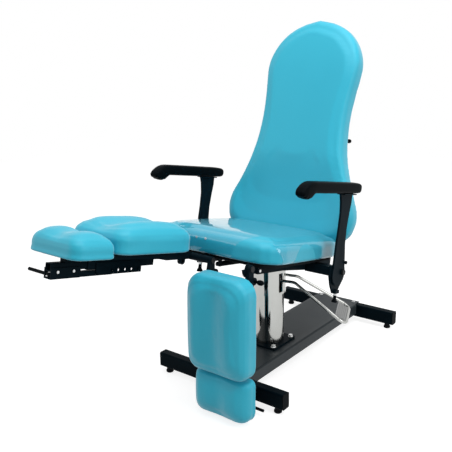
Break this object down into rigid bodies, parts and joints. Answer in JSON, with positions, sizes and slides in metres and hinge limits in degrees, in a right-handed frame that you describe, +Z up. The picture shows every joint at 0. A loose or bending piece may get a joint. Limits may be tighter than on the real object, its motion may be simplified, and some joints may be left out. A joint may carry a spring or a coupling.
{
  "type": "podiatry chair",
  "caption": "Hydraulic treatment chair for foot care: tilting seat, reclining back, folding armrests and split leg rests with telescopic foot pads.",
  "frame": {"origin": "middle of the chair's footprint, on the floor", "axes": "+Z up, the sitter faces -Y, +X is the sitter's left"},
  "size_m": [0.7096, 1.5946, 1.3867],
  "materials": {
    "turquoise": "smooth artificial leather with a soft sheen",
    "film": "clear soft film",
    "black_coat": "fine powder coat, blue-black",
    "charcoal_coat": "satin powder coat, charcoal",
    "chrome": "polished",
    "zinc": "bright zinc plating",
    "black_screws": "black",
    "cast": "machined casting",
    "bronze": "turned bronze",
    "board": "black laminated board",
    "arm_foam": "skinned polyurethane, satin",
    "black_plastic": "moulded plastic"
  },
  "bodies": {
    "base": {"base_plate": "charcoal_coat", "front_floor_tube": "black_coat", "rear_floor_tube": "black_coat", "tube_end_caps": "black_plastic", "rubber_feet": "black_plastic", "plate_bolts": "zinc", "pump_flange": "black_coat", "flange_bolts": "zinc", "pump_cylinder": "chrome", "pump_sleeve": "chrome", "pump_head": "cast", "ram_guide": "bronze", "lever_pin": "zinc"},
    "lever": {"foot_lever": "chrome", "pedal_plate": "zinc"},
    "lift": {"lift_ram": "chrome", "head_bracket": "black_coat", "tilt_pin": "zinc"},
    "seat": {"seat_frame": "black_coat", "leg_hinge_pins": "black_screws", "seat_board": "board", "seat_cushion": "turquoise", "seat_cover": "film", "cover_studs": "zinc", "frame_screws": "zinc", "arm_bracket_left": "black_coat", "arm_bracket_right": "black_coat", "arm_bolts": "black_screws", "tilt_spring_body": "black_coat", "recline_spring_body": "black_coat", "recline_pins": "zinc"},
    "tilt_rod": {"tilt_spring_rod": "chrome"},
    "recline_rod": {"recline_spring_rod": "chrome"},
    "back": {"back_frame": "black_coat", "back_board": "board", "back_cushion": "turquoise"},
    "release": {"release_bar": "black_plastic"},
    "front_lock": {"front_plunger": "black_plastic"},
    "leg_left": {"leg_frame_left": "black_coat", "calf_cushion_left": "turquoise"},
    "slide_left": {"foot_slide_left": "black_coat", "sole_cushion_left": "turquoise", "slide_bolts_left": "zinc"},
    "lock_left": {"leg_lock_left": "black_plastic"},
    "slide_release_left": {"slide_lever_left": "black_plastic"},
    "arm_left": {"arm_upright_left": "black_coat", "arm_pad_left": "arm_foam"},
    "arm_lock_left": {"arm_plunger_left": "black_plastic"},
    "leg_right": {"leg_frame_right": "black_coat", "calf_cushion_right": "turquoise"},
    "slide_right": {"foot_slide_right": "black_coat", "sole_cushion_right": "turquoise", "slide_bolts_right": "zinc"},
    "lock_right": {"leg_lock_right": "black_plastic"},
    "slide_release_right": {"slide_lever_right": "black_plastic"},
    "arm_right": {"arm_upright_right": "black_coat", "arm_pad_right": "arm_foam"},
    "arm_lock_right": {"arm_plunger_right": "black_plastic"}
  },
  "joints": [
    {"name": "lift", "type": "slide", "parent": "base", "child": "lift", "axis": [0, 0, 1], "range_m": [0, 0.2]},
    {"name": "pump", "type": "hinge", "parent": "base", "child": "lever", "pos_m": [0.04234, 0.20028, 0.37], "axis": [-0.3907, 0.9205, 0], "range_deg": [0, 25], "stiffness_Nm_per_rad": 20, "springref_deg": -20.05},
    {"name": "tilt", "type": "hinge", "parent": "lift", "child": "seat", "pos_m": [0, 0.1823, 0.462], "axis": [-1, 0, 0], "range_deg": [0, 10]},
    {"name": "tilt_spring", "type": "slide", "parent": "seat", "child": "tilt_rod", "axis": [0, 0.9848, -0.1736], "range_m": [0, 0.008]},
    {"name": "recline", "type": "hinge", "parent": "seat", "child": "back", "pos_m": [0, 0.33774, 0.448], "axis": [-1, 0, 0], "range_deg": [0, 72]},
    {"name": "recline_spring", "type": "slide", "parent": "seat", "child": "recline_rod", "axis": [0, -0.9848, 0.1736], "range_m": [0, 0.06]},
    {"name": "release", "type": "hinge", "parent": "back", "child": "release", "pos_m": [0, 0.51314, 0.90205], "axis": [1, 0, 0], "range_deg": [0, 10], "stiffness_Nm_per_rad": 0.6, "springref_deg": -5.73},
    {"name": "front_lock", "type": "slide", "parent": "seat", "child": "front_lock", "axis": [0, -0.1736, -0.9848], "range_m": [0, 0.008], "stiffness_N_per_m": 900, "springref_m": -0.004},
    {"name": "leg_left", "type": "hinge", "parent": "seat", "child": "leg_left", "pos_m": [0.133, -0.24549, 0.561], "axis": [-1, 0, 0], "range_deg": [0, 104]},
    {"name": "slide_left", "type": "slide", "parent": "leg_left", "child": "slide_left", "axis": [0, -0.0262, -0.9997], "range_m": [0, 0.09]},
    {"name": "slide_release_left", "type": "hinge", "parent": "slide_left", "child": "slide_release_left", "pos_m": [0.133, -0.20857, 0.02285], "axis": [0, -0.9997, 0.0262], "range_deg": [0, 12], "stiffness_Nm_per_rad": 1.5, "springref_deg": -5.73},
    {"name": "leg_lock_left", "type": "hinge", "parent": "leg_left", "child": "lock_left", "pos_m": [0.217, -0.23073, 0.5136], "axis": [1, 0, 0], "range_deg": [0, 12], "stiffness_Nm_per_rad": 0.6, "springref_deg": -5.73},
    {"name": "arm_left", "type": "hinge", "parent": "seat", "child": "arm_left", "pos_m": [0.332, 0.1785, 0.45476], "axis": [-1, 0, 0], "range_deg": [0, 90]},
    {"name": "arm_lock_left", "type": "slide", "parent": "seat", "child": "arm_lock_left", "axis": [0, -0.1736, -0.9848], "range_m": [0, 0.008], "stiffness_N_per_m": 900, "springref_m": -0.004},
    {"name": "leg_right", "type": "hinge", "parent": "seat", "child": "leg_right", "pos_m": [-0.133, -0.24549, 0.561], "axis": [-1, 0, 0], "range_deg": [-100.5, 3.5]},
    {"name": "slide_right", "type": "slide", "parent": "leg_right", "child": "slide_right", "axis": [0, -0.9781, 0.2079], "range_m": [0, 0.09]},
    {"name": "slide_release_right", "type": "hinge", "parent": "slide_right", "child": "slide_release_right", "pos_m": [-0.133, -0.78136, 0.62276], "axis": [0, 0.2079, 0.9781], "range_deg": [-12, 0], "stiffness_Nm_per_rad": 1.5, "springref_deg": 5.73},
    {"name": "leg_lock_right", "type": "hinge", "parent": "leg_right", "child": "lock_right", "pos_m": [-0.217, -0.29479, 0.55512], "axis": [1, 0, 0], "range_deg": [0, 12], "stiffness_Nm_per_rad": 0.6, "springref_deg": -5.73},
    {"name": "arm_right", "type": "hinge", "parent": "seat", "child": "arm_right", "pos_m": [-0.332, 0.1785, 0.45476], "axis": [-1, 0, 0], "range_deg": [0, 90]},
    {"name": "arm_lock_right", "type": "slide", "parent": "seat", "child": "arm_lock_right", "axis": [0, -0.1736, -0.9848], "range_m": [0, 0.008], "stiffness_N_per_m": 900, "springref_m": -0.004}
  ],
  "couplings": [
    {"joint": "tilt_spring", "follows": "tilt", "m_per_rad": 0.0397},
    {"joint": "recline_spring", "follows": "recline", "m_per_rad": 0.0468}
  ]
}
